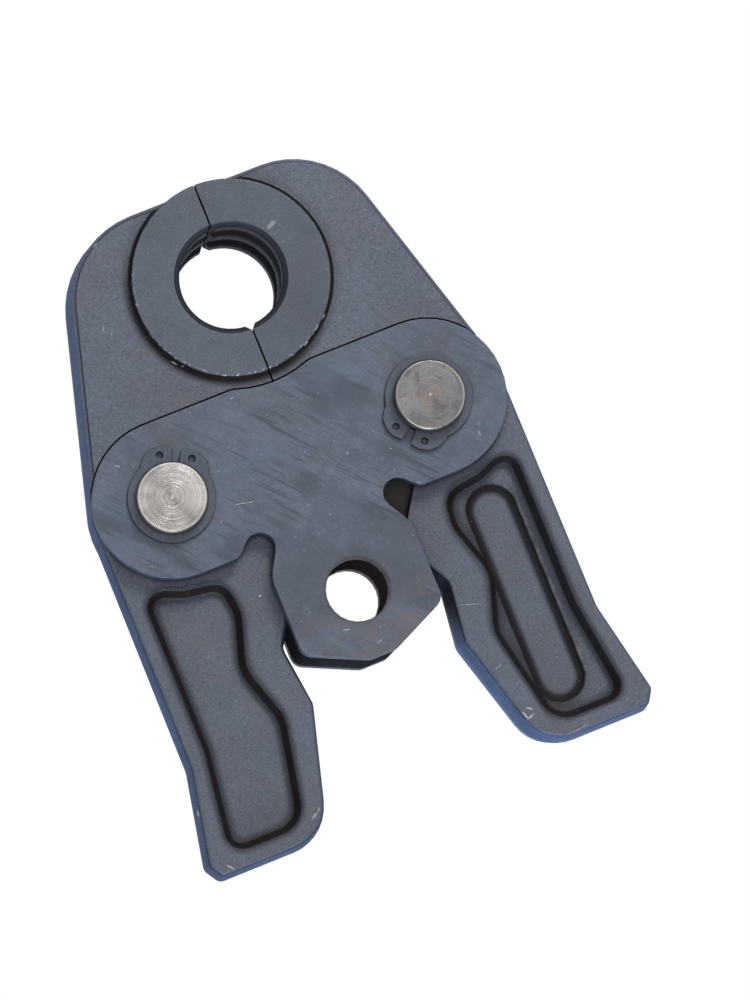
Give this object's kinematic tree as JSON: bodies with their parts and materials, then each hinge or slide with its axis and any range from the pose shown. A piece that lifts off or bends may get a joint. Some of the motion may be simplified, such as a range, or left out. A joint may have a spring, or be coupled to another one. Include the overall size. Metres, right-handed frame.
{
  "type": "press fitting tool jaw",
  "caption": "Pressing jaw with a round split die: forged arms on pins between side plates, a tongue with a hole for the tool's pin, and a hidden spring.",
  "frame": {"origin": "rear side plate's outer face, on the mid-line of its tongue, between the tool pin's hole and the tongue's end; the pivots' line is 45.4 mm beyond it", "axes": "+X from the left pivot to the right pivot as the picture shows the jaw, +Y to the die, +Z out of the front side plate"},
  "size_m": [0.1084, 0.1463, 0.0426],
  "materials": {
    "forged_arm": "blackened forged steel, fine sandy grain, dull blue-grey",
    "side_plate": "blackened flat plate, smooth satin with faint diagonal smudges",
    "pivot_pin": "bare turned steel end with fine turning marks",
    "retaining_ring": "phosphated spring steel, dark and matt",
    "spring": "oiled spring wire, dark grey"
  },
  "bodies": {
    "side_plates": {"front_side_plate": "side_plate", "rear_side_plate": "side_plate", "left_pivot_pin": "pivot_pin", "right_pivot_pin": "pivot_pin", "front_left_retaining_ring": "retaining_ring", "front_right_retaining_ring": "retaining_ring", "rear_left_retaining_ring": "retaining_ring", "rear_right_retaining_ring": "retaining_ring", "jaw_spring": "spring"},
    "left_arm": {"left_jaw_arm": "forged_arm"},
    "right_arm": {"right_jaw_arm": "forged_arm"}
  },
  "joints": [
    {"name": "left_arm_pivot", "type": "hinge", "parent": "side_plates", "child": "left_arm", "pos_m": [-0.031, 0.0454, 0.0165], "axis": [0, 0, 1], "range_deg": [0, 17], "stiffness_Nm_per_rad": 2.5, "springref_deg": -20.05, "deforming": ["jaw_spring"]},
    {"name": "right_arm_pivot", "type": "hinge", "parent": "side_plates", "child": "right_arm", "pos_m": [0.031, 0.0454, 0.0165], "axis": [0, 0, -1], "range_deg": [0, 17], "stiffness_Nm_per_rad": 2.5, "springref_deg": -20.05}
  ]
}
